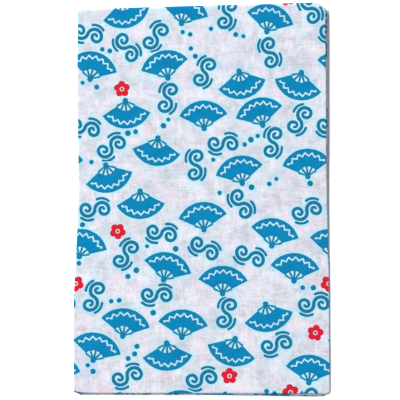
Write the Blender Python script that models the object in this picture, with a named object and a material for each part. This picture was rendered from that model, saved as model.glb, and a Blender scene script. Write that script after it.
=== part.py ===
"""A folded cotton towel: one cloth turned in thirds across its width, then laid back and forth.

Metres, +Z up. The packet lies on Z = 0 with its printed face up. Looking down on it, +X is to the
right and +Y is the far end, where the top layer is folded. The near end holds the cloth's upper
cut end. Three plies lie together in each layer, so a layer of the solid stands for all three.
"""

import math
from collections import namedtuple

import bmesh
import bpy
import numpy as np

CLOTH_LENGTH = 0.900
CLOTH_WIDTH = 0.350
LAYERS = 5
PLIES_IN_A_LAYER = 3

PLY_PITCH = 0.00037
LAYER_GAP = 0.00035
LAYER_THICKNESS = PLIES_IN_A_LAYER * PLY_PITCH
HALF_LAYER = LAYER_THICKNESS / 2
LAYER_PITCH = LAYER_THICKNESS + LAYER_GAP
FOLD_RADIUS = LAYER_PITCH / 2

PACKET_LENGTH = CLOTH_LENGTH / LAYERS
PACKET_WIDTH = CLOTH_WIDTH / PLIES_IN_A_LAYER

# The packet's sides swing out over its near half, the left one the most. The two shares say
# where this is complete and where it starts, from the near end to the far one.
LEFT_FLARE = 0.0021
RIGHT_FLARE = 0.0005
FLARE_COMPLETE = 0.13
FLARE_START = 0.52

# The top isn't quite level: it falls towards both sides, and soft waves run over it.
SIDE_FALL = 0.00035
WAVE_HEIGHT = 0.00014
WAVES_ACROSS = 1.15
WAVES_ALONG = 1.7

# One row for each end of a layer, from the cloth's hidden cut end under the packet to its upper
# cut end. reach is how far the end stands past the packet's nominal one, and slant how much
# further up the packet its right-hand corner is than its left. left and right are how far its
# sides stand out past a third of the cloth's width. The last four are the quarter ellipses that
# round its corners in plan. All are in millimetres.
Turn = namedtuple("Turn", "reach slant left right left_run left_rise right_run right_rise")
TURNS = (
    Turn(-2.20, 0.4, -0.4, 0.85, 1.2, 1.0, 1.2, 1.0),
    Turn(1.25, -1.9, -0.6, 1.15, 1.5, 1.2, 6.0, 1.8),
    Turn(-0.70, 2.0, -0.7, 1.35, 1.5, 1.2, 1.3, 0.9),
    Turn(1.35, -0.2, -0.5, 1.25, 1.5, 1.2, 6.0, 1.3),
    Turn(1.00, 3.25, -0.1, -0.35, 1.6, 1.2, 3.7, 3.5),
    Turn(0.30, -0.2, -0.1, 0.75, 12.0, 1.2, 1.0, 0.7),
)
MM = 0.001

# Columns of points stand at these distances in from each side, in millimetres, and at the middle.
COLUMNS_FROM_SIDE = (0.0, 0.7, 1.6, 3.2, 6.0, 11.0, 22.0, 38.0)
STEPS_ROUND_A_SIDE = 3
STEPS_ALONG_A_LAYER = 9
STEPS_ROUND_A_FOLD = 8
STEPS_ROUND_A_CUT_END = 2

GROUND_COLOUR = (0.84, 0.86, 0.92, 1.0)
CLOTH_ROUGHNESS = 0.9

# A station is one stop along the folded cloth. y, height and level hold a value for each column
# or for all: where the middle of the layer is, and how many layers up that is. facing is the way
# the cloth's face looks in Y and Z, full its share of the full thickness, and left and right are
# as in the table of turns.
Station = namedtuple("Station", "y height level facing full left right")


def clear_scene():
    for old in list(bpy.data.objects):
        bpy.data.objects.remove(old, do_unlink=True)


def cotton():
    """The cloth's material: bleached plain-woven cotton."""
    material = bpy.data.materials.new("printed_cotton")
    material.use_nodes = True
    shader = material.node_tree.nodes["Principled BSDF"]
    shader.inputs["Base Color"].default_value = GROUND_COLOUR
    shader.inputs["Roughness"].default_value = CLOTH_ROUGHNESS
    shader.inputs["Metallic"].default_value = 0.0
    return material


def smooth(share):
    """An even S-curve from 0 to 1."""
    share = np.clip(share, 0.0, 1.0)
    return share * share * (3 - 2 * share)


def half_section():
    """The upper half of a layer's cross-section, from its left side to its right.

    Three arrays: the place in the flat part from -1 to 1, and how far a point goes sideways and
    outwards in half thicknesses, which rounds the two sides.
    """
    flat_half = PACKET_WIDTH / 2 - HALF_LAYER
    inwards = [1 - step * MM / flat_half for step in COLUMNS_FROM_SIDE]
    flat = [-place for place in inwards] + [0.0] + inwards[::-1]
    angles = [math.pi / 2 * step / STEPS_ROUND_A_SIDE for step in range(STEPS_ROUND_A_SIDE)]
    cosines = [math.cos(angle) for angle in angles]
    sines = [math.sin(angle) for angle in angles]
    place = [-1.0] * len(angles) + flat + [1.0] * len(angles)
    sideways = [-cosine for cosine in cosines] + [0.0] * len(flat) + cosines[::-1]
    outwards = sines + [1.0] * len(flat) + sines[::-1]
    return np.array(place), np.array(sideways), np.array(outwards)


def corner_pull(from_side, run, rise):
    """How far a rounded corner draws the end in, at a distance from the side: a quarter ellipse."""
    inside = np.clip(1 - from_side / (run * MM), 0.0, 1.0)
    return rise * MM * (1 - np.sqrt(1 - inside * inside))


def turn_edge(index, place):
    """Where the outermost edge at one end of a layer lies along Y, for each column."""
    turn = TURNS[index]
    away = 1 if index % 2 == 0 else -1
    half = PACKET_WIDTH / 2
    reach = PACKET_LENGTH / 2 + turn.reach * MM
    reach -= corner_pull((1 + place) * half, turn.left_run, turn.left_rise)
    reach -= corner_pull((1 - place) * half, turn.right_run, turn.right_rise)
    return away * reach + place * turn.slant * MM / 2


def cut_end(flat_end, outwards):
    """The two stations that round off a cut end, going outwards from the flat layer's last one."""
    rows = []
    for step in range(1, STEPS_ROUND_A_CUT_END + 1):
        angle = math.pi / 2 * step / (STEPS_ROUND_A_CUT_END + 1)
        past = flat_end.y + outwards * HALF_LAYER * math.sin(angle)
        rows.append(flat_end._replace(y=past, full=math.cos(angle)))
    return rows


def fold(flat_end, way):
    """The stations between one layer's end and the next layer's start, round a half circle."""
    rows = []
    for step in range(1, STEPS_ROUND_A_FOLD):
        angle = math.pi * step / STEPS_ROUND_A_FOLD
        climb = (1 - math.cos(angle)) / 2
        row = flat_end._replace(
            y=flat_end.y + way * FOLD_RADIUS * math.sin(angle),
            height=flat_end.height + LAYER_PITCH * climb,
            level=flat_end.level + climb,
            facing=(-math.sin(angle), way * math.cos(angle)),
        )
        rows.append(row)
    return rows


def flat_run(layer, way, place):
    """The stations along one layer, between the room that its two ends take."""
    before = TURNS[layer]
    after = TURNS[layer + 1]
    start_room = HALF_LAYER if layer == 0 else HALF_LAYER + FOLD_RADIUS
    end_room = HALF_LAYER if layer == LAYERS - 1 else HALF_LAYER + FOLD_RADIUS
    start = turn_edge(layer, place) + way * start_room
    end = turn_edge(layer + 1, place) - way * end_room
    rows = []
    for step in range(STEPS_ALONG_A_LAYER + 1):
        share = step / STEPS_ALONG_A_LAYER
        drift = smooth(share)
        row = Station(
            y=start + (end - start) * share,
            height=HALF_LAYER + layer * LAYER_PITCH,
            level=layer,
            facing=(0.0, way),
            full=1.0,
            left=(before.left + (after.left - before.left) * drift) * MM,
            right=(before.right + (after.right - before.right) * drift) * MM,
        )
        rows.append(row)
    return rows


def stations(place):
    """Every station of the cloth, from its hidden cut end to its upper one."""
    rows = []
    for layer in range(LAYERS):
        way = -1 if layer % 2 == 0 else 1
        flat = flat_run(layer, way, place)
        if layer == 0:
            rows += cut_end(flat[0], -way)[::-1]
        rows += flat
        rows += cut_end(flat[-1], way) if layer == LAYERS - 1 else fold(flat[-1], way)
    return rows


def flare(y):
    """How far open the near half is at each Y, from 0 to 1."""
    share = (y + PACKET_LENGTH / 2) / PACKET_LENGTH
    return smooth((FLARE_START - share) / (FLARE_START - FLARE_COMPLETE))


def unevenness(place, y, level):
    """How far the surface lies below true: nothing in the lowest layer, most in the top one."""
    share = y / PACKET_LENGTH
    waves = np.sin(math.tau * (WAVES_ACROSS * place + 0.6 * share) + 0.8)
    waves = waves * np.cos(math.tau * (WAVES_ALONG * share - 0.3 * place))
    fall = SIDE_FALL * np.abs(place) ** 6
    return (WAVE_HEIGHT * (waves - 1) - fall) * level / (LAYERS - 1)


def ring_points(section, row):
    """The closed ring of points round the layer at one station, as rows of X, Y and Z."""
    place, sideways, outwards = section
    open_share = flare(row.y)
    left = -PACKET_WIDTH / 2 - row.left - LEFT_FLARE * open_share + HALF_LAYER
    right = PACKET_WIDTH / 2 + row.right + RIGHT_FLARE * open_share - HALF_LAYER
    x = (left + right) / 2 + place * (right - left) / 2 + sideways * HALF_LAYER
    z = row.height + unevenness(place, row.y, row.level)
    offset = outwards * HALF_LAYER * row.full
    upper = np.stack([x, row.y + row.facing[0] * offset, z + row.facing[1] * offset], axis=1)
    lower = np.stack([x, row.y - row.facing[0] * offset, z - row.facing[1] * offset], axis=1)
    return np.concatenate([upper, lower[-2:0:-1]])


def cloth_mesh():
    """The folded cloth as one closed tube: a ring at each station, and a strip over each end."""
    section = half_section()
    rings = [ring_points(section, row) for row in stations(section[0])]
    points = np.concatenate(rings)
    low = points.min(axis=0)
    high = points.max(axis=0)
    points -= ((low[0] + high[0]) / 2, (low[1] + high[1]) / 2, low[2])

    size = len(rings[0])
    shape = bmesh.new()
    corners = [shape.verts.new(point) for point in points]
    for ring in range(len(rings) - 1):
        first = ring * size
        for step in range(size):
            after = (step + 1) % size
            loop = (first + step, first + after, first + size + after, first + size + step)
            shape.faces.new([corners[index] for index in loop])
    last_ring = (len(rings) - 1) * size
    for first in (0, last_ring):
        for step in range(size // 2):
            across = (step, step + 1, size - step - 1, (size - step) % size)
            loop = dict.fromkeys(first + index for index in across)
            shape.faces.new([corners[index] for index in loop])
    bmesh.ops.triangulate(shape, faces=shape.faces[:])
    bmesh.ops.recalc_face_normals(shape, faces=shape.faces[:])
    mesh = bpy.data.meshes.new("towel")
    shape.to_mesh(mesh)
    shape.free()
    mesh.shade_smooth()
    return mesh


def build_towel():
    clear_scene()
    mesh = cloth_mesh()
    mesh.materials.append(cotton())
    towel = bpy.data.objects.new("towel", mesh)
    bpy.context.scene.collection.objects.link(towel)


build_towel()
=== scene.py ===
import math

import bpy
import numpy as np
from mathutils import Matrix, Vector


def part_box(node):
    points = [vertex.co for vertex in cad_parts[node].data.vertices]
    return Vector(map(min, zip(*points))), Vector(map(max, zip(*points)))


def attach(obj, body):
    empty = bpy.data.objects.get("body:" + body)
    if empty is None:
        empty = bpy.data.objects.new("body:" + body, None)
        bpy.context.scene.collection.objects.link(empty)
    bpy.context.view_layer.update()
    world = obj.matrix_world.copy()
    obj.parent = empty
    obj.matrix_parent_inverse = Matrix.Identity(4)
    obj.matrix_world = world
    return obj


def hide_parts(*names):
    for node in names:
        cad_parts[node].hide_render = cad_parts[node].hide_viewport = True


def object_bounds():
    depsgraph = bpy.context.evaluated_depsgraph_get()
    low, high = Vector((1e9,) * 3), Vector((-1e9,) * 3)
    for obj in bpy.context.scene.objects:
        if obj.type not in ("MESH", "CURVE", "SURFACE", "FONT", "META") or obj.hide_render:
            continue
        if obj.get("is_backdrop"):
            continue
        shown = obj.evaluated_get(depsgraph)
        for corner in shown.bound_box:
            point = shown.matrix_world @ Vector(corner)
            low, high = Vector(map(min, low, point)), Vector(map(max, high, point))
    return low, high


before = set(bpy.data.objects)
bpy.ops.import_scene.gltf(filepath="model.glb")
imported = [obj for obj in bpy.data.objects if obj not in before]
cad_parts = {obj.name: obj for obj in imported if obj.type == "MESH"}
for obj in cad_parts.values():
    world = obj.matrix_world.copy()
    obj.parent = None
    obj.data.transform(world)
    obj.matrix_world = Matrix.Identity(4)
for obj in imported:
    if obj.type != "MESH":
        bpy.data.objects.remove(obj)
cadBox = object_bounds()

# The cloth and how it is folded: in thirds across its width, then back and forth along its length.
cloth = {
    "width": 0.350,
    "length": 0.900,
    "thickness": 0.00028,
    "plyPitch": 0.00037,       # from the middle of one ply to the next, inside a bundle of three
    "bundlePitch": 0.00146,    # from one bundle to the next
    "bundles": 5,
    "leftFlare": 0.0021,       # how far the near half swings out on the left
    "rightFlare": 0.0005,
    "flareComplete": 0.13,     # shares of the packet's length, from its near end
    "flareStart": 0.52,
    "cornerRoundness": 0.985,  # 1 would make each rounded corner a true quarter ellipse
    "innerSelvedge": 0.0026,   # how far the hidden selvedge lies inside the left fold
    "topSelvedge": 0.0006,     # how far the other one stops short of the right fold on top
    "lowFold": 0.0012,         # and how far it reaches past that fold in the bundles below
    "selvedgeRun": 0.2,        # the share of a third over which it comes to stand there
    "takeUp": 0.42,            # the share of a bundle in which the columns' lengths even out
    "lowColumns": 22,          # columns of points across a hidden third
    "fineColumns": 92,         # and across the third that shows on top
    "lowRows": 24,             # rows along a hidden bundle
    "fineRows": 132,           # and along the top one
    "sideFoldSteps": 7,
    "endFoldSteps": 10,
}

# One value for each end of a bundle, from the cut end under the packet to the one on top, in
# millimetres: how far the end reaches past the nominal one, how much further up its right corner
# is than its left, how far its sides stand out, and the run and rise of its rounded corners.
turns = {
    "reach": (-2.20, 1.25, -0.70, 1.10, 1.00, 0.20),
    "slant": (0.4, -1.9, 2.0, -0.2, 3.25, -0.2),
    "left": (-0.4, -0.6, -0.7, -0.5, -0.1, -0.1),
    "right": (0.75, 1.05, 1.25, 1.15, -0.80, 0.65),
    "leftRun": (1.2, 1.5, 1.5, 1.5, 1.6, 12.0),
    "leftRise": (1.0, 1.2, 1.2, 1.2, 1.2, 1.2),
    "rightRun": (1.2, 6.0, 1.3, 6.0, 3.7, 1.0),
    "rightRise": (1.0, 1.8, 0.9, 1.3, 3.5, 0.7),
}
turns = {name: np.array(row) for name, row in turns.items()}

# How the top is uneven: it falls towards its sides, and two sets of slow waves that all bundles
# share run over it, one across the packet and one along it.
uneven = {
    "sideFall": 0.00035,
    "fallPower": 6,
    "waveHeight": 0.00014,
    "wavesAcross": 1.15,
    "wavesAlong": 1.7,
    "slantAlong": 0.6,         # how many waves the first set turns aside along the packet
    "slantAcross": 0.3,        # and the second set across it
    "start": 0.8,
}

# Smaller waves of each bundle and each ply: their height, their lengths along X and Y, and how far
# a bundle's and a ply's are out of step with the next one's, in radians.
ripples = (
    (0.00003, 0.043, 0.071, 2.1, 1.7),
    (0.00003, 0.027, -0.038, 1.3, -2.3),
    (0.00007, 0.061, 0.083, 2.4, 0.0),
)

# How the bundles' sides sway along the packet.
sway = {
    "width": 0.00022,
    "length": 0.103,
    "crest": 0.0606,           # the Y where the top bundle's left side stands out furthest
    "shift": 1.9,              # in radians, from one bundle to the next
    "power": 4,                # by which it dies away towards the middle
    "rightShare": 0.5,         # how much of it the right side has, and how its wave differs
    "rightPace": 1.3,
    "rightStart": 0.7,
}
mm = 0.001
rimBulge = 0.3                 # how far a cut or woven edge is rounded, in thicknesses of the cloth


def smoothStep(share):
    # An even S-curve from 0 to 1: three squares less two cubes.
    share = np.clip(share, 0.0, 1.0)
    return share * share * (3 - 2 * share)


def easedSteps(count, start, end, ease=0.6):
    # Steps from start to end that lie closer together near both: part even, part cosine.
    even = np.linspace(0.0, 1.0, count)
    return start + (end - start) * ((1 - ease) * even + ease * (1 - np.cos(math.pi * even)) / 2)


def foldedAcross():
    # The width in thirds. The first third lies in the middle of the bundle, the second is turned
    # over it by a tight half circle on the right, and the last under both by a wide one on the left.
    # Gives each column's place from left to right, its bulge past the side, its offset from the
    # bundle's middle, how much it belongs to the outer selvedge, and its distance across the cloth.
    pitch = cloth["plyPitch"]
    third = cloth["width"] / 3
    tight = pitch / 2
    wide = pitch
    angle = np.linspace(0.0, math.pi, cloth["sideFoldSteps"] + 2)[1:-1]
    first = easedSteps(cloth["lowColumns"], cloth["innerSelvedge"] / third, 1.0)
    second = easedSteps(cloth["fineColumns"], 1.0, 0.0)
    last = easedSteps(cloth["lowColumns"], 0.0, 1.0)
    place = np.concatenate([first, np.ones_like(angle), second, np.zeros_like(angle), last])
    bulge = np.concatenate(
        [0 * first, tight * np.sin(angle), 0 * second, -wide * np.sin(angle), 0 * last]
    )
    offset = np.concatenate(
        [
            0 * first,
            -tight * (1 - np.cos(angle)),
            0 * second - pitch,
            -wide * np.cos(angle),
            0 * last + pitch,
        ]
    )
    run = cloth["selvedgeRun"]
    outer = np.where(offset > 0, smoothStep((place - 1 + run) / run), 0.0)
    steps = np.hypot(np.diff(place * third + bulge), np.diff(offset))
    across = np.concatenate([[0.0], np.cumsum(steps)])
    return place, bulge, offset, outer, across * cloth["width"] / across[-1]


def foldedAlong():
    # The length back and forth. Gives each row's bundle, its share of the way along it, and its
    # angle round the half circle that leads on to the next bundle.
    bundle, share, angle = [], [], []
    for index in range(cloth["bundles"]):
        top = index == cloth["bundles"] - 1
        steps = easedSteps(cloth["fineRows"] if top else cloth["lowRows"], 0.0, 1.0)
        turn = np.linspace(0.0, math.pi, cloth["endFoldSteps"] + 1)[1:-1]
        turn = turn[:0] if top else turn
        bundle.append(np.full(len(steps) + len(turn), index))
        share.append(np.concatenate([steps, np.ones(len(turn))]))
        angle.append(np.concatenate([np.zeros(len(steps)), turn]))
    return np.concatenate(bundle), np.concatenate(share), np.concatenate(angle)


def roundedCorner(fromSide, run, rise):
    # How far a corner draws the end in: nearly a quarter ellipse, with the run and rise as its axes.
    inside = np.clip(1 - fromSide / np.maximum(run, 1e-9), 0.0, 1.0)
    return rise * (1 - np.sqrt(1 - cloth["cornerRoundness"] * inside**2))


def endLines(place):
    # Where each bundle end's outermost edge lies along Y, one row for each end.
    width = cloth["width"] / 3
    half = cloth["length"] / cloth["bundles"] / 2
    away = np.where(np.arange(cloth["bundles"] + 1) % 2 == 0, 1, -1)[:, None]
    columns = {name: row[:, None] * mm for name, row in turns.items()}
    reach = half + columns["reach"] + 0 * place[None, :]
    reach = reach - roundedCorner(place * width, columns["leftRun"], columns["leftRise"])
    reach = reach - roundedCorner((1 - place) * width, columns["rightRun"], columns["rightRise"])
    return away * reach + (place - 0.5)[None, :] * columns["slant"]


def bundleSides(y, along, bundle):
    # How far each side stands from the middle: what each end's row says, and the near half's flare.
    drift = smoothStep(along)
    half = cloth["length"] / cloth["bundles"] / 2
    run = cloth["flareStart"] - cloth["flareComplete"]
    opened = smoothStep((cloth["flareStart"] - (y + half) / (2 * half)) / run)
    side = {}
    for name in ("left", "right"):
        row = turns[name] * mm
        held = row[bundle][:, None] + (row[bundle + 1] - row[bundle])[:, None] * drift
        side[name] = cloth["width"] / 6 + held + cloth[name + "Flare"] * opened
    return side


def swayedSides(x, y, level, place):
    # Both sides follow cosines of Y, and less so by a power of the place towards the middle.
    swing = math.tau * (y - sway["crest"]) / sway["length"]
    swing = swing + sway["shift"] * (level - cloth["bundles"] + 1)
    other = sway["rightPace"] * swing + sway["rightStart"]
    x = x - sway["width"] * np.cos(swing) * (1 - place) ** sway["power"]
    return x + sway["rightShare"] * sway["width"] * np.cos(other) * place ** sway["power"]


def topFall(y, level, place):
    # How far the surface lies below true: a power of the distance from the middle, and a sine times
    # a cosine. There is none of it in the lowest bundle and most in the top one.
    fromMiddle = 2 * place - 1
    lengthwise = y * cloth["bundles"] / cloth["length"]
    waves = uneven["wavesAcross"] * fromMiddle + uneven["slantAlong"] * lengthwise
    others = uneven["wavesAlong"] * lengthwise - uneven["slantAcross"] * fromMiddle
    waves = np.sin(math.tau * waves + uneven["start"]) * np.cos(math.tau * others)
    fall = uneven["sideFall"] * np.abs(fromMiddle) ** uneven["fallPower"]
    return (fall - uneven["waveHeight"] * (waves - 1)) * level / (cloth["bundles"] - 1)


def rippled(x, y, level, ply):
    # The smaller waves, as slanting sines of X and Y.
    height = 0
    for size, lengthX, lengthY, levelShift, plyShift in ripples:
        wave = math.tau * (x / lengthX + y / lengthY) + levelShift * level + plyShift * ply
        height = height + size * np.sin(wave)
    return height


def foldedSurface():
    # The middle of the cloth as a grid of points, with the distances across and along it. A point
    # is its row's place on the back-and-forth path, moved by its column's offset at right angles.
    place, bulge, offset, outer, across = foldedAcross()
    bundle, share, angle = foldedAlong()
    pitch = cloth["bundlePitch"]
    radius = pitch / 2
    bundleHalf = cloth["plyPitch"] + cloth["thickness"] / 2
    way = np.where(bundle % 2 == 0, -1, 1)[:, None]
    lines = endLines(place)
    isCutStart = (bundle == 0)[:, None]
    isCutEnd = (bundle == cloth["bundles"] - 1)[:, None]
    startRoom = np.where(isCutStart, cloth["thickness"] / 2, bundleHalf + radius)
    endRoom = np.where(isCutEnd, cloth["thickness"] / 2, bundleHalf + radius)
    start = lines[bundle] + way * startRoom
    end = lines[bundle + 1] - way * endRoom
    along = share[:, None]
    y = start + (end - start) * along + way * radius * np.sin(angle)[:, None]
    climb = (1 - np.cos(angle)) / 2
    level = (bundle + climb)[:, None]
    z = bundleHalf + pitch * level + 0 * y

    # The outermost plies stand where the sides are, and the selvedge beside the right-hand one.
    side = bundleSides(y, along, bundle)
    onTop = smoothStep(level - (cloth["bundles"] - 2))
    inset = cloth["lowFold"] * (1 - onTop)
    left = -side["left"] + cloth["thickness"] / 2 + cloth["plyPitch"]
    right = side["right"] - cloth["thickness"] / 2 - cloth["plyPitch"] / 2 - inset
    x = left + (right - left) * place[None, :] + bulge[None, :]
    selvedge = side["right"] - rimBulge * cloth["thickness"] - cloth["topSelvedge"] * onTop
    x = x + (selvedge - right) * outer[None, :]
    x = swayedSides(x, y, level, place[None, :])
    z = z - topFall(y, level, place[None, :])
    facingY = -np.sin(angle)[:, None]
    facingZ = way * np.cos(angle)[:, None]
    stack = z + facingZ * offset[None, :]
    loose = np.clip((stack - bundleHalf) / pitch, 0.0, 1.0)
    z = z + rippled(x, y, level, offset[None, :] / cloth["plyPitch"]) * loose
    points = np.stack([x, y + facingY * offset, z + facingZ * offset], axis=2)
    return points, across, lengthsAlong(points, bundle, share)


def lengthsAlong(points, bundle, share):
    # The distance along the cloth at each point. It is measured along the point's own column, so
    # that the print isn't stretched where a corner is drawn in. In each bundle all columns agree
    # at Y = 0, and the hidden half of the bundle below takes up the difference.
    run = np.linalg.norm(np.diff(points, axis=0), axis=2)
    own = np.concatenate([np.zeros((1, points.shape[1])), np.cumsum(run, axis=0)])
    own *= cloth["length"] / own[-1].mean()
    middles = []
    for index in range(cloth["bundles"]):
        rows = np.flatnonzero(bundle == index)
        middles.append(rows[np.argmin(abs(share[rows] - 0.5))])
    way = np.where(np.arange(cloth["bundles"]) % 2 == 0, -1, 1)[:, None]
    atZero = own[middles] - way * points[middles, :, 1]
    lag = atZero.mean(axis=1, keepdims=True) - atZero
    lag = np.concatenate([lag, lag[-1:]])
    blend = smoothStep((share - 0.5) / cloth["takeUp"])[:, None]
    return own + lag[bundle] * (1 - blend) + lag[bundle + 1] * blend


def outwardNormals(points):
    # The surface's direction at each point: the cross product of its slopes along rows and columns.
    alongRows = np.gradient(points, axis=0)
    alongColumns = np.gradient(points, axis=1)
    normal = np.cross(alongColumns, alongRows)
    return normal / np.maximum(np.linalg.norm(normal, axis=2, keepdims=True), 1e-12)


def gridFaces(rows, columns, first, turned):
    # Four-cornered faces over a grid of points that is numbered row by row.
    number = first + np.arange(rows * columns).reshape(rows, columns)
    quads = np.stack([number[:-1, :-1], number[:-1, 1:], number[1:, 1:], number[1:, :-1]], axis=2)
    quads = quads.reshape(-1, 4)
    return quads[:, ::-1] if turned else quads


# The picture that an export bakes: the part of the cloth that shows on top lies large on the left
# of it, and all the rest small on the right. The last four are in widths of the picture.
bakeSheet = {
    "top": ((0.1145, 0.716), (0.2355, 0.910)),
    "topCorner": (0.006, 0.020),
    "topRoom": (0.630, 0.960),
    "restCorner": (0.644, 0.006),
    "restRoom": (0.350, 0.988),
    "spare": 1.01,             # the longest column over the cloth's length
}


def bakePlaces(quads):
    # Where each face's four corners lie in that picture: one even scale for each of its two parts.
    low, high = (np.array(corner) for corner in bakeSheet["top"])
    middle = quads.mean(axis=1)
    onTop = ((middle > low) & (middle < high)).all(axis=1)[:, None, None]
    topScale = min(np.array(bakeSheet["topRoom"]) / (high - low))
    whole = np.array([cloth["width"], bakeSheet["spare"] * cloth["length"]])
    restScale = min(np.array(bakeSheet["restRoom"]) / whole)
    # The cut end that lies underneath starts a hair below 0 in places, hence the clip.
    top = bakeSheet["topCorner"] + (quads - low) * topScale
    rest = bakeSheet["restCorner"] + np.clip(quads, 0, None) * restScale
    return np.where(onTop, top, rest)


def meshFrom(name, points, faces, flat, baked=False):
    # A mesh piece at the origin, smooth, with its place on the flat cloth as a UV map in metres, and
    # with its places in the baked picture if it has one.
    mesh = bpy.data.meshes.new(name)
    mesh.from_pydata(points, [], faces)
    corner = np.empty(len(mesh.loops), np.int32)
    mesh.loops.foreach_get("vertex_index", corner)
    places = {"clothPlace": flat[corner]}
    if baked:
        places["OFBake"] = bakePlaces(flat[corner].reshape(-1, 4, 2))
    for label, values in places.items():
        layer = mesh.uv_layers.new(name=label)
        layer.uv.foreach_set("vector", values.astype(np.float32).ravel())
    mesh.shade_smooth()
    mesh.update()
    piece = bpy.data.objects.new(name, mesh)
    bpy.context.scene.collection.objects.link(piece)
    return piece


def thickSheet(name, points, across, along):
    # Both faces of the cloth, half its thickness each way, joined by a rounded rim.
    rows, columns = points.shape[:2]
    normal = outwardNormals(points)
    half = cloth["thickness"] / 2
    upper = points + half * normal
    lower = points - half * normal
    border = np.concatenate(
        [
            [(0, c) for c in range(columns)],
            [(r, columns - 1) for r in range(1, rows)],
            [(rows - 1, c) for c in range(columns - 2, -1, -1)],
            [(r, 0) for r in range(rows - 2, 0, -1)],
        ]
    )
    r, c = border.T
    inner = points[np.clip(r, 1, rows - 2), np.clip(c, 1, columns - 2)]
    outwards = points[r, c] - inner
    outwards /= np.linalg.norm(outwards, axis=1, keepdims=True)
    rim = points[r, c] + rimBulge * cloth["thickness"] * outwards
    size = rows * columns
    number = r * columns + c
    edge = 2 * size + np.arange(len(border))
    nextNumber, nextEdge = np.roll(number, -1), np.roll(edge, -1)
    faces = np.concatenate(
        [
            gridFaces(rows, columns, 0, False),
            gridFaces(rows, columns, size, True),
            np.stack([nextNumber, number, edge, nextEdge], axis=1),
            np.stack([number + size, nextNumber + size, nextEdge, edge], axis=1),
        ]
    )
    flatGrid = np.stack([across + 0 * along, along], axis=2).reshape(-1, 2)
    flat = np.concatenate([flatGrid, flatGrid, flatGrid[number]])
    allPoints = np.concatenate([upper.reshape(-1, 3), lower.reshape(-1, 3), rim])
    return meshFrom(name, allPoints, faces, flat, baked=True)


points, across, along = foldedSurface()
low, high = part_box("towel")
middle = (points.reshape(-1, 3).min(axis=0) + points.reshape(-1, 3).max(axis=0)) / 2
points[:, :, 0] += (low[0] + high[0]) / 2 - middle[0]
points[:, :, 1] += (low[1] + high[1]) / 2 - middle[1]
towel = thickSheet("foldedTowel", points, across, along)
print("cloth:", len(towel.data.polygons), "faces")

# The two cut ends aren't hemmed, so a stub of each lengthwise thread stands out of them.
fray = {
    "pitch": 0.00052,
    "radius": 0.00009,
    "shortest": 0.00008,
    "longest": 0.00055,
    "lean": 0.22,              # sideways, as a share of the stub's length
    "lift": 0.12,
    "root": 0.0002,            # how deep it starts inside the cloth
    "steps": 3,
    "sides": 4,
    "taper": 0.4,
    "seed": 5,
}


def frayedThreads(name, points, across, along):
    # Each stub is a ring carried along a line: straight out, with a sideways and an upward part
    # that grow as the square of the way along it.
    rng = np.random.default_rng(fray["seed"])
    station = np.arange(fray["pitch"] / 2, cloth["width"], fray["pitch"])
    root, away, flat = [], [], []
    for row, inner in ((0, 1), (-1, -2)):
        axes = [(points[row, :, axis], points[inner, :, axis]) for axis in range(3)]
        edge = np.stack([np.interp(station, across, outer) for outer, _ in axes], axis=1)
        inside = np.stack([np.interp(station, across, nextIn) for _, nextIn in axes], axis=1)
        root.append(edge)
        away.append((edge - inside) / np.linalg.norm(edge - inside, axis=1, keepdims=True))
        flat.append(np.stack([station, np.interp(station, across, along[row])], axis=1))
    root, away, flat = np.concatenate(root), np.concatenate(away), np.concatenate(flat)
    up = np.array([0.0, 0.0, 1.0])
    side = np.cross(up, away)
    count, rings, sides = len(root), fray["steps"] + 1, fray["sides"]
    length = fray["shortest"] + (fray["longest"] - fray["shortest"]) * rng.uniform(0, 1, count) ** 2
    length = length[:, None, None]
    lean = fray["lean"] * rng.normal(0, 1, count)
    lift = fray["lift"] * rng.uniform(0, 1, count)
    share = np.linspace(0, 1, rings)[None, :, None]
    line = root[:, None] + away[:, None] * ((length + fray["root"]) * share - fray["root"])
    line = line + (side * lean[:, None] + up * lift[:, None])[:, None] * length * share**2
    angle = math.tau * np.arange(sides) / sides
    ring = side[:, None] * np.cos(angle)[None, :, None] + up * np.sin(angle)[None, :, None]
    radius = fray["radius"] * (1 - fray["taper"] * share[..., None])
    shape = line[:, :, None] + ring[:, None] * radius
    number = np.arange(count * rings * sides).reshape(count, rings, sides)
    after = np.roll(number, -1, axis=2)
    walls = np.stack([number[:, :-1], after[:, :-1], after[:, 1:], number[:, 1:]], axis=3)
    faces = np.concatenate([walls.reshape(-1, 4), number[:, -1], number[:, 0, ::-1]])
    return meshFrom(name, shape.reshape(-1, 3), faces, np.repeat(flat, rings * sides, axis=0))


cutEndThreads = frayedThreads("cutEndThreads", points, across, along)
print("cut ends:", len(cutEndThreads.data.polygons), "faces")

# The print's repeat, in millimetres: fans, scrolls, blossoms and dots thrown all over it.
toss = {
    "width": 117.0,
    "height": 184.0,
    "seed": 7,
    "columns": 7,              # of cells that fans and scrolls start in by turns
    "rows": 8,
    "cellMargin": 0.15,
    "blossoms": 6,
    "dots": 44,
    "pairStep": (4.0, 3.0),    # from one dot of a pair to the other
    "fanTilt": 20.0,           # degrees either way from upright, or from upside down
    "room": 0.7,               # the least room between two figures
    "rounds": 600,
    "backOff": 0.3,            # the share of each push that is followed
}

# Each kind of figure as a row of circles: how many, how far they reach to either side, their
# radius, and how heavy the figure is to push. The last two are the half width and half height of
# the ellipse that holds it.
fanKind, scrollKind, blossomKind, dotKind = range(4)
figureKinds = {
    "circles": (3, 2, 1, 1),
    "spread": (6.1, 2.3, 0.0, 0.0),
    "radius": (6.9, 5.8, 4.1, 1.5),
    "weight": (1.0, 0.7, 0.4, 0.1),
    "halfWidth": (12.4, 8.4, 4.2, 1.5),
    "halfHeight": (7.8, 6.7, 4.2, 1.5),
}


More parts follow.
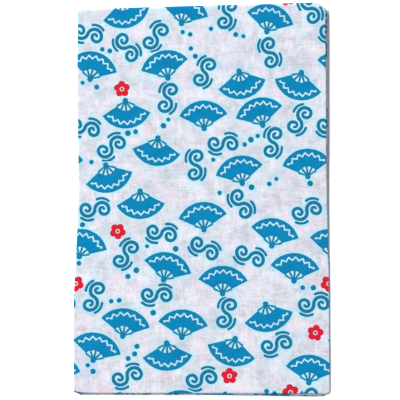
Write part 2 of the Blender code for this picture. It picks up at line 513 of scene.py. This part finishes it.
def tossedFigures():
    # Throws the figures on the repeat, then pushes them apart: where the circles of two figures
    # overlap, both back off, the lighter one further. Distances run round the repeat's edges, so
    # that it joins up with itself. Gives each one's kind, centre and angle.
    rng = np.random.default_rng(toss["seed"])
    size = np.array([toss["width"], toss["height"]])
    cell = np.arange(toss["columns"] * toss["rows"])
    column, row = cell % toss["columns"], cell // toss["columns"]
    margin = toss["cellMargin"]
    start = np.stack([column, row], axis=1) + rng.uniform(margin, 1 - margin, (len(cell), 2))
    start = start * size / (toss["columns"], toss["rows"])
    loose = rng.uniform(0, 1, (toss["blossoms"] + toss["dots"], 2)) * size
    loose[toss["blossoms"] + 1::2] = loose[toss["blossoms"]:-1:2] + toss["pairStep"]
    centre = np.concatenate([start, loose])
    others = np.repeat((blossomKind, dotKind), (toss["blossoms"], toss["dots"]))
    kind = np.concatenate([np.where((column + row) % 2 == 0, fanKind, scrollKind), others])
    tilt = np.radians(toss["fanTilt"]) * rng.uniform(-1, 1, len(kind))
    angle = np.where(kind == fanKind, tilt, rng.uniform(-math.pi, math.pi, len(kind)))
    angle = angle + math.pi * (rng.uniform(0, 1, len(kind)) > 0.5)

    owner, offset = [], []
    for index, figure in enumerate(kind):
        spread = figureKinds["spread"][figure]
        reach = np.linspace(-spread, spread, figureKinds["circles"][figure])
        offset.append(np.outer(reach, (math.cos(angle[index]), math.sin(angle[index]))))
        owner.append(np.full(len(reach), index))
    owner, offset = np.concatenate(owner), np.concatenate(offset)
    radius = np.array(figureKinds["radius"])[kind[owner]]
    weight = np.array(figureKinds["weight"])[kind[owner]]
    share = weight[None, :] / (weight[:, None] + weight[None, :])
    strangers = owner[:, None] != owner[None, :]
    for _ in range(toss["rounds"]):
        place = centre[owner] + offset
        gap = place[:, None] - place[None, :]
        gap -= size * np.round(gap / size)
        distance = np.linalg.norm(gap, axis=2) + 1e-6
        overlap = np.clip(radius[:, None] + radius[None, :] + toss["room"] - distance, 0, None)
        push = (gap / distance[..., None] * (overlap * share * strangers)[..., None]).sum(axis=1)
        move = np.stack([np.bincount(owner, axis, len(centre)) for axis in push.T], axis=1)
        centre = centre + toss["backOff"] * move
    print("toss: tightest place", round(float((overlap * strangers).max() - toss["room"]), 2), "mm")
    return kind, centre % size, angle


# The fan, open, with its rivet at the bottom. This and the next three are in millimetres.
fan = {
    "drop": 6.1,               # of the rivet below the figure's middle
    "reach": 13.0,
    "leaf": 4.7,               # from the rivet to the leaf's lower edge
    "spread": 61.0,            # degrees either side of its middle
    "line": 11.1,              # from the rivet to the white zigzag line's crests
    "lineHalf": 0.5,
    "lineInset": 1.1,          # its ends from the leaf's sides
    "zigzag": 1.5,
    "teeth": 7,
    "sticks": 5,
    "stick": 0.46,             # half the width of a stick
    "stickRoot": 0.2,          # how far a stick reaches into the leaf
    "stickRoom": 0.12,         # radians past the leaf's sides that the outer sticks may take
    "rivet": 1.3,
}

# The scroll's strokes as arcs of circles: centre, radius, first and last angle in degrees and
# half width. It is the same turned by half a turn, so half of it is listed.
scrollArcs = {
    "x": (3.3, 4.45, 3.35, 3.0),
    "y": (0.0, 0.0, 0.0, 0.0),
    "radius": (3.3, 2.15, 1.05, 5.25),
    "from": (0, -180, 30, 52),
    "to": (180, 0, 180, 116),
    "halfWidth": (0.80, 0.74, 0.64, 0.60),
}

blossom = {
    "petals": 5,
    "petalPlace": 2.2,         # a petal's middle from the blossom's
    "petalRadius": 1.62,
    "heart": 2.1,
    "ring": 0.85,              # the radius of the white ring, and half the width of its line
    "ringHalf": 0.22,
}

# A dot's radius: the least, how much more at most, and the factor that scatters it in between.
dotRadius = {"least": 0.95, "more": 0.45, "scatter": 7.3}

# The colours, and the print's sizes, in millimetres where nothing else is said.
dye = {
    "ground": (0.85, 0.84, 0.93, 1.0),
    # The ground's dark end, which the tone mixes in: the threads' own tones, and painted shade.
    "groundShade": (0.53, 0.55, 0.61, 1.0),
    "groundWarm": (0.87, 0.70, 0.80, 1.0),
    "groundCool": (0.64, 0.81, 0.92, 1.0),
    "groundTint": (0.36, 0.80, 0.97, 1.0),
    "blue": (0.002, 0.245, 0.515, 1.0),
    # The blue's dark end: the threads' own tones, and painted shade.
    "blueDarkAndShaded": (0.002, 0.20, 0.43, 1.0),
    "blueRim": (0.014, 0.160, 0.265, 1.0),
    "red": (0.73, 0.013, 0.031, 1.0),
    "redRim": (0.52, 0.013, 0.030, 1.0),
    "edge": 0.18,              # how soft a printed edge is
    "rimDepth": 0.9,           # how far the darker rim of a printed shape reaches inwards
    "lineRimDepth": 2.4,       # the same in the thin lines and dots, which it darkens throughout
    "tintDepth": 1.9,          # and the pale tint, that the blue leaves round itself, outwards
    "stray": 0.16,             # how far the threads carry the dye past the drawn edge
    "strayScale": 900.0,       # waves to the metre
    "ghost": 0.10,             # how much of the ply beneath shows through
    "ghostEdge": 2.0,
    "plainEdge": 0.0026,       # the selvedges, which aren't printed, in metres
}

# The ground's patches. The first six are the share of shade and what each cause adds to it, and
# the next three the cloudy noise. Of the causes, the gaps between the threads and the crossings are
# painted shade. The last three turn that noise into warm and cool: its slope, its start and how
# strong they are at most.
patches = {
    "shade": 0.42,
    "slub": 1.3,
    "cloud": 2.5,
    "thread": 2.3,
    "paintedCrossingShade": 0.55,
    "gap": 0.4,
    "cloudScale": 140.0,
    "cloudDetail": 3.0,
    "cloudRoughness": 0.65,
    "hueSlope": 5.0,
    "hueStart": -2.6,
    "hueMost": 0.8,
}

finishOfCloth = {
    "bump": 0.6,
    "bumpDistance": 0.00006,
    "roughness": 0.9,
    "specular": 0.05,
    "sheen": 0.03,
    "sheenRoughness": 0.5,
}


def mathIn(tree):
    # A short way to add Math nodes to a tree: it gives each new node's output.
    def calc(operation, *values, clamp=False):
        node = tree.nodes.new("ShaderNodeMath")
        node.operation = operation
        node.use_clamp = clamp
        for socket, value in zip(node.inputs, values):
            if isinstance(value, (int, float)):
                socket.default_value = value
            else:
                tree.links.new(value, socket)
        return node.outputs[0]

    return calc


def vectorIn(tree):
    # The same for Vector Math nodes.
    def step(operation, *values):
        node = tree.nodes.new("ShaderNodeVectorMath")
        node.operation = operation
        for socket, value in zip(node.inputs, values):
            if isinstance(value, tuple):
                socket.default_value = value
            else:
                tree.links.new(value, socket)
        return node.outputs["Value" if operation == "LENGTH" else "Vector"]

    return step


def newGroup(name, inputs, outputs):
    # An empty shader node group with these named sockets, and its two end nodes.
    tree = bpy.data.node_groups.new(name, "ShaderNodeTree")
    for label, kind in inputs:
        tree.interface.new_socket(name=label, in_out="INPUT", socket_type=kind)
    for label, kind in outputs:
        tree.interface.new_socket(name=label, in_out="OUTPUT", socket_type=kind)
    return tree, tree.nodes.new("NodeGroupInput"), tree.nodes.new("NodeGroupOutput")


def placeGroup(tree, group, **values):
    # The group as one node of a tree, with its inputs linked or set.
    node = tree.nodes.new("ShaderNodeGroup")
    node.node_tree = group
    for label, value in values.items():
        if isinstance(value, (int, float)):
            node.inputs[label].default_value = value
        else:
            tree.links.new(value, node.inputs[label])
    return node


def lengthOf(calc, x, y):
    return calc("SQRT", calc("MULTIPLY_ADD", x, x, calc("MULTIPLY", y, y)))


def discDistance(calc, x, y, centreX, centreY, radius):
    # Distance to a disc's edge, below 0 inside it.
    fromCentre = lengthOf(calc, calc("SUBTRACT", x, centreX), calc("SUBTRACT", y, centreY))
    return calc("SUBTRACT", fromCentre, radius)


def arcDistance(calc, x, y, index):
    # Distance to a stroke along an arc with round ends: to the circle inside its sweep, and to
    # its nearer end outside it.
    arc = {name: row[index] for name, row in scrollArcs.items()}
    halfway = math.radians((arc["from"] + arc["to"]) / 2)
    halfSweep = math.radians(abs(arc["to"] - arc["from"]) / 2)
    dx = calc("SUBTRACT", x, arc["x"])
    dy = calc("SUBTRACT", y, arc["y"])
    out = calc("MULTIPLY_ADD", dx, math.cos(halfway), calc("MULTIPLY", dy, math.sin(halfway)))
    aside = calc("MULTIPLY_ADD", dy, math.cos(halfway), calc("MULTIPLY", dx, -math.sin(halfway)))
    aside = calc("ABSOLUTE", aside)
    ring = calc("ABSOLUTE", calc("SUBTRACT", lengthOf(calc, aside, out), arc["radius"]))
    endX = calc("SUBTRACT", aside, arc["radius"] * math.sin(halfSweep))
    endY = calc("SUBTRACT", out, arc["radius"] * math.cos(halfSweep))
    end = lengthOf(calc, endX, endY)
    past = calc("MULTIPLY_ADD", aside, math.cos(halfSweep), calc("MULTIPLY", out, -math.sin(halfSweep)))
    past = calc("GREATER_THAN", past, 0.0)
    distance = calc("MULTIPLY_ADD", past, calc("SUBTRACT", end, ring), ring)
    return calc("SUBTRACT", distance, arc["halfWidth"])


def fanDistance(calc, x, y):
    # A ring's sector, less a white zigzag line, and five sticks down to the rivet.
    rise = calc("ADD", y, fan["drop"])
    radius = lengthOf(calc, x, rise)
    angle = calc("ARCTAN2", x, rise)
    wide = calc("ABSOLUTE", angle)
    spread = math.radians(fan["spread"])
    sides = calc("MULTIPLY", calc("SUBTRACT", wide, spread), radius)
    rim = calc("SUBTRACT", radius, fan["reach"])
    heel = calc("SUBTRACT", fan["leaf"], radius)
    leaf = calc("MAXIMUM", calc("MAXIMUM", rim, heel), sides)
    teeth = calc("PINGPONG", calc("MULTIPLY", angle, fan["teeth"] / spread), 1.0)
    line = calc("ADD", calc("MULTIPLY_ADD", teeth, fan["zigzag"], -fan["line"]), radius)
    line = calc("SUBTRACT", calc("ABSOLUTE", line), fan["lineHalf"])
    line = calc("MAXIMUM", line, calc("ADD", sides, fan["lineInset"]))
    leaf = calc("MAXIMUM", leaf, calc("MULTIPLY", line, -1.0))
    halfGap = spread / (fan["sticks"] - 1)
    stick = calc("PINGPONG", calc("ADD", angle, halfGap), halfGap)
    stick = calc("SUBTRACT", halfGap, stick)
    stick = calc("SUBTRACT", calc("MULTIPLY", radius, calc("SINE", stick)), fan["stick"])
    stick = calc("MAXIMUM", stick, calc("SUBTRACT", radius, fan["leaf"] + fan["stickRoot"]))
    outside = calc("MULTIPLY", calc("SUBTRACT", wide, spread + fan["stickRoom"]), radius)
    stick = calc("MAXIMUM", stick, outside)
    rivet = calc("SUBTRACT", radius, fan["rivet"])
    return calc("MINIMUM", calc("MINIMUM", leaf, stick), rivet)


def scrollDistance(calc, x, y):
    # Two spirals joined in an S, with short strokes beside them.
    foldX = calc("ABSOLUTE", x)
    foldY = calc("MULTIPLY", y, calc("SIGN", x))
    distance = arcDistance(calc, x, y, 0)
    other = arcDistance(calc, calc("MULTIPLY", x, -1.0), calc("MULTIPLY", y, -1.0), 0)
    distance = calc("MINIMUM", distance, other)
    for index in range(1, len(scrollArcs["x"])):
        distance = calc("MINIMUM", distance, arcDistance(calc, foldX, foldY, index))
    return distance


def blossomDistance(calc, x, y):
    # Round petals about a round heart, with a small ring left white in the middle.
    radius = lengthOf(calc, x, y)
    angle = calc("PINGPONG", calc("ARCTAN2", x, y), math.pi / blossom["petals"])
    petalX = calc("MULTIPLY", radius, calc("SINE", angle))
    petalY = calc("MULTIPLY", radius, calc("COSINE", angle))
    outline = discDistance(calc, petalX, petalY, 0.0, blossom["petalPlace"], blossom["petalRadius"])
    outline = calc("MINIMUM", outline, calc("SUBTRACT", radius, blossom["heart"]))
    ring = calc("ABSOLUTE", calc("SUBTRACT", radius, blossom["ring"]))
    ring = calc("SUBTRACT", ring, blossom["ringHalf"])
    return calc("MAXIMUM", outline, calc("MULTIPLY", ring, -1.0))


def makeFiguresGroup():
    # A place on the flat cloth, in metres, gives masks of the blue and the red dye, of a printed
    # shape's rim and of the tint round the blue. Each figure takes the part of the repeat that is
    # nearest to its ellipse. There it is drawn in its own millimetres, whose Z holds its kind.
    tree, start, finish = newGroup(
        "printedFigures",
        [("Place", "NodeSocketVector"), ("Edge", "NodeSocketFloat")],
        [(name, "NodeSocketFloat") for name in ("Blue", "Red", "Rim", "Tint")],
    )
    calc = mathIn(tree)
    step = vectorIn(tree)
    place = step("MULTIPLY", start.outputs["Place"], (1000.0, 1000.0, 0.0))
    kindRoom = 9.0             # wider than any kind's number, so that the wrap leaves it alone
    halfSize = (toss["width"] / 2, toss["height"] / 2, kindRoom)
    lowCorner = tuple(-value for value in halfSize)
    best, chosen, dots = None, None, None
    for kind, centre, angle in zip(*tossedFigures()):
        offset = step("SUBTRACT", place, (float(centre[0]), float(centre[1]), -float(kind)))
        offset = step("WRAP", offset, halfSize, lowCorner)
        if kind == dotKind:
            size = dotRadius["least"] + dotRadius["more"] * ((centre[0] * dotRadius["scatter"]) % 1.0)
            dot = calc("SUBTRACT", step("LENGTH", step("MULTIPLY", offset, (1.0, 1.0, 0.0))), size)
            dots = dot if dots is None else calc("MINIMUM", dots, dot)
            continue
        turn = tree.nodes.new("ShaderNodeVectorRotate")
        turn.rotation_type = "Z_AXIS"
        turn.inputs["Angle"].default_value = -angle
        tree.links.new(offset, turn.inputs["Vector"])
        local = turn.outputs[0]
        shape = (1 / figureKinds["halfWidth"][kind], 1 / figureKinds["halfHeight"][kind], 0.0)
        score = step("LENGTH", step("MULTIPLY", local, shape))
        if best is None:
            best, chosen = score, local
            continue
        nearer = calc("LESS_THAN", score, best)
        mix = tree.nodes.new("ShaderNodeMix")
        mix.data_type = "VECTOR"
        tree.links.new(nearer, mix.inputs[0])
        tree.links.new(chosen, mix.inputs[4])
        tree.links.new(local, mix.inputs[5])
        chosen = mix.outputs[1]
        best = calc("MINIMUM", score, best)

    parts = tree.nodes.new("ShaderNodeSeparateXYZ")
    tree.links.new(chosen, parts.inputs[0])
    x, y, kind = parts.outputs
    far = 5.0                  # millimetres, by which a kind that isn't meant is put out of reach
    notFan = calc("GREATER_THAN", kind, fanKind + 0.5)
    solid = calc("MULTIPLY_ADD", notFan, far, fanDistance(calc, x, y))
    isScroll = calc("COMPARE", kind, scrollKind, 0.5)
    lines = calc("MULTIPLY_ADD", calc("SUBTRACT", 1.0, isScroll), far, scrollDistance(calc, x, y))
    lines = calc("MINIMUM", lines, dots)
    notBlossom = calc("LESS_THAN", kind, blossomKind - 0.5)
    red = calc("MULTIPLY_ADD", notBlossom, far, blossomDistance(calc, x, y))
    edge = start.outputs["Edge"]

    def inked(distance):
        # 1 inside the figure and 0 outside, with a soft edge.
        return calc("SUBTRACT", 0.5, calc("DIVIDE", distance, edge), clamp=True)

    blue = calc("MINIMUM", solid, lines)
    tree.links.new(inked(blue), finish.inputs["Blue"])
    tree.links.new(inked(red), finish.inputs["Red"])
    rim = calc("DIVIDE", calc("MINIMUM", solid, red), dye["rimDepth"])
    rim = calc("MINIMUM", rim, calc("DIVIDE", lines, dye["lineRimDepth"]))
    tree.links.new(calc("ADD", rim, 1.0, clamp=True), finish.inputs["Rim"])
    tint = calc("MULTIPLY_ADD", blue, -1 / dye["tintDepth"], 1.0, clamp=True)
    tree.links.new(calc("MULTIPLY", tint, tint), finish.inputs["Tint"])
    return tree


# The weave, in metres. The scales are waves to the metre.
weave = {
    "warpPitch": 0.00052,      # from thread to thread
    "weftPitch": 0.00056,
    "wander": 0.00012,         # how far a thread strays
    "wanderScale": 260.0,
    "strangeness": 7.31,       # between neighbouring threads' tones
    "toneScale": 240.0,        # along a thread
    "weftTone": 4.0,           # how far the weft's tones lie from the warp's in the noise
    "back": 0.55,              # a thread's height at the middle of its rise and fall
    "rise": 0.45,
    "paintedGapShadeSlope": 2.2,
    "overSlope": 1.5,
    "slubScales": (60.0, 900.0),    # along a slub and across it
    "slubShift": (3.7, 1.9, 0.0),
}


def noiseIn(tree, vector, scale, detail=2.0, roughness=0.5):
    noise = tree.nodes.new("ShaderNodeTexNoise")
    noise.inputs["Scale"].default_value = scale
    noise.inputs["Detail"].default_value = detail
    noise.inputs["Roughness"].default_value = roughness
    tree.links.new(vector, noise.inputs["Vector"])
    return noise


def scaledPlace(tree, vector, scale, offset=(0.0, 0.0, 0.0)):
    mapping = tree.nodes.new("ShaderNodeMapping")
    mapping.inputs["Scale"].default_value = scale
    mapping.inputs["Location"].default_value = offset
    tree.links.new(vector, mapping.inputs["Vector"])
    return mapping.outputs[0]


def makeWeaveGroup():
    # Plain weave: each crossing is a warp thread's or a weft thread's round back, by turns.
    tree, start, finish = newGroup(
        "plainWeave",
        [("Place", "NodeSocketVector")],
        [(name, "NodeSocketFloat") for name in ("Height", "PaintedGapShade", "Over", "Thread", "Slub")],
    )
    calc = mathIn(tree)
    place = start.outputs["Place"]
    stray = noiseIn(tree, place, weave["wanderScale"])
    strayParts = tree.nodes.new("ShaderNodeSeparateColor")
    tree.links.new(stray.outputs["Color"], strayParts.inputs[0])
    parts = tree.nodes.new("ShaderNodeSeparateXYZ")
    tree.links.new(place, parts.inputs[0])
    threads = []
    for index, pitch in enumerate((weave["warpPitch"], weave["weftPitch"])):
        offset = calc("SUBTRACT", strayParts.outputs[index], 0.5)
        offset = calc("MULTIPLY", offset, 2 * weave["wander"])
        threads.append(calc("DIVIDE", calc("ADD", parts.outputs[index], offset), pitch))
    warp = calc("SINE", calc("MULTIPLY", threads[0], math.pi))
    weft = calc("SINE", calc("MULTIPLY", threads[1], math.pi))
    crossing = calc("MULTIPLY", warp, weft)
    backs = []
    for thread, rise in ((warp, weave["rise"]), (weft, -weave["rise"])):
        rising = calc("MULTIPLY_ADD", crossing, rise, weave["back"])
        backs.append(calc("MULTIPLY", calc("ABSOLUTE", thread), rising))
    height = calc("MAXIMUM", *backs)
    tree.links.new(height, finish.inputs["Height"])
    # Painted shade in the gaps between the threads: 1 where no thread's back rises, falling to 0 as one
    # rises.
    gap = calc("SUBTRACT", 1.0, calc("MULTIPLY", height, weave["paintedGapShadeSlope"]), clamp=True)
    tree.links.new(gap, finish.inputs["PaintedGapShade"])

    # Each thread changes in tone along its length. At a crossing the one on top shows.
    tones = []
    for index in range(2):
        number = calc("MULTIPLY", calc("FLOOR", threads[index]), weave["strangeness"])
        length = calc("MULTIPLY", parts.outputs[1 - index], weave["toneScale"])
        join = tree.nodes.new("ShaderNodeCombineXYZ")
        tree.links.new(number, join.inputs[index])
        tree.links.new(length, join.inputs[1 - index])
        join.inputs[2].default_value = weave["weftTone"] * index
        tones.append(noiseIn(tree, join.outputs[0], 1.0, 1.0).outputs[0])
    # 1 where the warp is on top. The ground's tone reads it as painted shade there, and as painted
    # light where the weft is on top.
    warpOnTop = calc("MULTIPLY_ADD", crossing, weave["overSlope"], 0.5, clamp=True)
    tree.links.new(warpOnTop, finish.inputs["Over"])
    thread = calc("MULTIPLY_ADD", calc("SUBTRACT", tones[0], tones[1]), warpOnTop, tones[1])
    tree.links.new(thread, finish.inputs["Thread"])

    # Slubs: streaks along both sets of threads, where several lie thicker or thinner.
    slow, quick = weave["slubScales"]
    lengthwise = noiseIn(tree, scaledPlace(tree, place, (quick, slow, 1.0)), 1.0)
    crosswise = scaledPlace(tree, place, (slow, quick, 1.0), weave["slubShift"])
    crosswise = noiseIn(tree, crosswise, 1.0)
    streaks = calc("ADD", lengthwise.outputs[0], crosswise.outputs[0])
    tree.links.new(calc("MULTIPLY", streaks, 0.5), finish.inputs["Slub"])
    return tree


def mixColours(tree, factor, first, second):
    mix = tree.nodes.new("ShaderNodeMix")
    mix.data_type = "RGBA"
    for socket, value in ((mix.inputs[0], factor), (mix.inputs[6], first), (mix.inputs[7], second)):
        if isinstance(value, (int, float, tuple)):
            socket.default_value = value
        else:
            tree.links.new(value, socket)
    return mix.outputs[2]


def groundTone(calc, woven, cloud):
    # The share of shade in the cotton's colour: what each cause adds, by how far it is from
    # middling, and what the gaps between the threads add. Slubs, clouds and the threads' tones are
    # the cloth's own. The gaps are painted shade. The crossings are painted shade where the warp is
    # on top and painted light where the weft is.
    causes = (
        (woven.outputs["Slub"], "slub"),
        (cloud, "cloud"),
        (woven.outputs["Thread"], "thread"),
        (woven.outputs["Over"], "paintedCrossingShade"),
    )
    tone = patches["shade"]
    for value, cause in causes:
        tone = calc("MULTIPLY_ADD", calc("SUBTRACT", value, 0.5), patches[cause], tone)
    return calc("MULTIPLY_ADD", woven.outputs["PaintedGapShade"], patches["gap"], tone, clamp=True)


def makeCotton(figuresGroup, weaveGroup):
    # Bleached plain-woven cotton, dyed through with the print.
    material = bpy.data.materials.new("printedCotton")
    material.use_nodes = True
    tree = material.node_tree
    shader = tree.nodes["Principled BSDF"]
    calc = mathIn(tree)
    source = tree.nodes.new("ShaderNodeUVMap")
    source.uv_map = "clothPlace"
    place = source.outputs[0]
    woven = placeGroup(tree, weaveGroup, Place=place)
    strayNoise = noiseIn(tree, place, dye["strayScale"], 1.0)
    strayed = tree.nodes.new("ShaderNodeVectorMath")
    strayed.operation = "MULTIPLY_ADD"
    tree.links.new(strayNoise.outputs["Color"], strayed.inputs[0])
    strayed.inputs[1].default_value = (2 * dye["stray"] * mm,) * 3
    tree.links.new(place, strayed.inputs[2])
    printed = placeGroup(tree, figuresGroup, Place=strayed.outputs[0], Edge=dye["edge"])
    parts = tree.nodes.new("ShaderNodeSeparateXYZ")
    tree.links.new(place, parts.inputs[0])
    fromMiddle = calc("ABSOLUTE", calc("SUBTRACT", parts.outputs[0], cloth["width"] / 2))
    printable = calc("LESS_THAN", fromMiddle, cloth["width"] / 2 - dye["plainEdge"])
    blueMask = calc("MULTIPLY", printed.outputs["Blue"], printable)
    redMask = calc("MULTIPLY", printed.outputs["Red"], printable)

    # The ply beneath the top one is the cloth turned over at the tight fold.
    beneath = scaledPlace(tree, place, (-1.0, 1.0, 1.0), (2 * cloth["width"] / 3, 0.0, 0.0))
    ghost = placeGroup(tree, figuresGroup, Place=beneath, Edge=dye["ghostEdge"])

    cloud = noiseIn(
        tree, place, patches["cloudScale"], patches["cloudDetail"], patches["cloudRoughness"]
    )
    cloudParts = tree.nodes.new("ShaderNodeSeparateColor")
    tree.links.new(cloud.outputs["Color"], cloudParts.inputs[0])
    tone = groundTone(calc, woven, cloudParts.outputs[0])
    ground = mixColours(tree, tone, dye["ground"], dye["groundShade"])
    for value, hue in zip(cloudParts.outputs[1:], ("groundWarm", "groundCool")):
        share = calc("MULTIPLY_ADD", value, patches["hueSlope"], patches["hueStart"], clamp=True)
        ground = mixColours(tree, calc("MULTIPLY", share, patches["hueMost"]), ground, dye[hue])
    tinted = calc("MULTIPLY", printed.outputs["Tint"], printable)
    ground = mixColours(tree, tinted, ground, dye["groundTint"])
    for mask in ("Blue", "Red"):
        shown = calc("MULTIPLY", ghost.outputs[mask], dye["ghost"])
        ground = mixColours(tree, shown, ground, dye[mask.lower()])
    # The blue darkens with the same tone: with the threads' own tones, and with the painted shade in
    # the gaps and on the warp's crossings.
    blue = mixColours(tree, tone, dye["blue"], dye["blueDarkAndShaded"])
    blue = mixColours(tree, printed.outputs["Rim"], blue, dye["blueRim"])
    red = mixColours(tree, printed.outputs["Rim"], dye["red"], dye["redRim"])
    colour = mixColours(tree, blueMask, ground, blue)
    colour = mixColours(tree, redMask, colour, red)
    tree.links.new(colour, shader.inputs["Base Color"])

    bump = tree.nodes.new("ShaderNodeBump")
    bump.inputs["Strength"].default_value = finishOfCloth["bump"]
    bump.inputs["Distance"].default_value = finishOfCloth["bumpDistance"]
    tree.links.new(woven.outputs["Height"], bump.inputs["Height"])
    tree.links.new(bump.outputs[0], shader.inputs["Normal"])
    shader.inputs["Roughness"].default_value = finishOfCloth["roughness"]
    shader.inputs["Specular IOR Level"].default_value = finishOfCloth["specular"]
    shader.inputs["Sheen Weight"].default_value = finishOfCloth["sheen"]
    shader.inputs["Sheen Roughness"].default_value = finishOfCloth["sheenRoughness"]
    return material


cotton = makeCotton(makeFiguresGroup(), makeWeaveGroup())
towel.data.materials.append(cotton)
cutEndThreads.data.materials.append(cotton)
print("print and weave: done")

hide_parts("towel")
for piece in (towel, cutEndThreads):
    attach(piece, "root")

# The photograph's view, from straight above. Its scale and the packet's middle in it are given in
# a frame of 400 by 400 pixels.
photo = {
    "metresPerPixel": 0.0004667,
    "width": 400,
    "packetX": 202.1,
    "packetY": 199.8,
    "height": 1.1,             # of the camera over the packet's top
    "sensor": 36.0,            # millimetres
    "nearest": 0.05,
    "furthest": 20.0,
}


def makeCamera():
    data = bpy.data.cameras.new("photoCamera")
    camera = bpy.data.objects.new("photoCamera", data)
    bpy.context.scene.collection.objects.link(camera)
    span = photo["width"] * photo["metresPerPixel"]
    data.sensor_width = photo["sensor"]
    data.lens = photo["sensor"] * photo["height"] / span
    offsetX = (photo["width"] / 2 - photo["packetX"]) * photo["metresPerPixel"]
    offsetY = (photo["packetY"] - photo["width"] / 2) * photo["metresPerPixel"]
    camera.location = (offsetX, offsetY, high[2] + photo["height"])
    data.clip_start = photo["nearest"]
    data.clip_end = photo["furthest"]
    bpy.context.scene.camera = camera


white = (1.0, 1.0, 1.0, 1.0)
studio = {
    "floor": (0.93, 0.93, 0.93, 1.0),
    "floorHalf": 2.0,
    "floorRoughness": 0.9,
    "floorGlow": 0.72,         # added where the camera sees it, so that it photographs white
    "sky": 0.35,
    "keyPlace": (-3.8, 3.8, 4.8),
    "keySize": 2.2,
    "keyPower": 594.0,
}


def makeStudio():
    # A plain white table, a soft white sky, and one soft light from the upper left.
    world = bpy.data.worlds.new("softSky")
    world.use_nodes = True
    sky = world.node_tree.nodes["Background"]
    sky.inputs["Color"].default_value = white
    sky.inputs["Strength"].default_value = studio["sky"]
    bpy.context.scene.world = world
    data = bpy.data.lights.new("keyLight", "AREA")
    data.size = studio["keySize"]
    data.energy = studio["keyPower"]
    key = bpy.data.objects.new("keyLight", data)
    key.location = studio["keyPlace"]
    key.rotation_euler = (-Vector(studio["keyPlace"])).to_track_quat("-Z", "Y").to_euler()
    bpy.context.scene.collection.objects.link(key)
    half = studio["floorHalf"]
    corners = [(-half, -half, 0.0), (half, -half, 0.0), (half, half, 0.0), (-half, half, 0.0)]
    mesh = bpy.data.meshes.new("whiteTable")
    mesh.from_pydata(corners, [], [(0, 1, 2, 3)])
    floor = bpy.data.objects.new("whiteTable", mesh)
    bpy.context.scene.collection.objects.link(floor)
    material = bpy.data.materials.new("whiteTable")
    material.use_nodes = True
    shader = material.node_tree.nodes["Principled BSDF"]
    shader.inputs["Base Color"].default_value = studio["floor"]
    shader.inputs["Roughness"].default_value = studio["floorRoughness"]
    tree = material.node_tree
    ray = tree.nodes.new("ShaderNodeLightPath")
    glow = mathIn(tree)("MULTIPLY", ray.outputs["Is Camera Ray"], studio["floorGlow"])
    shader.inputs["Emission Color"].default_value = white
    tree.links.new(glow, shader.inputs["Emission Strength"])
    mesh.materials.append(material)
    floor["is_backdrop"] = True
    bpy.context.scene.view_settings.view_transform = "Standard"
    return floor


makeCamera()
floor = makeStudio()
print("studio: done")

boxes = [[list(corner) for corner in box] for box in (cadBox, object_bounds())]
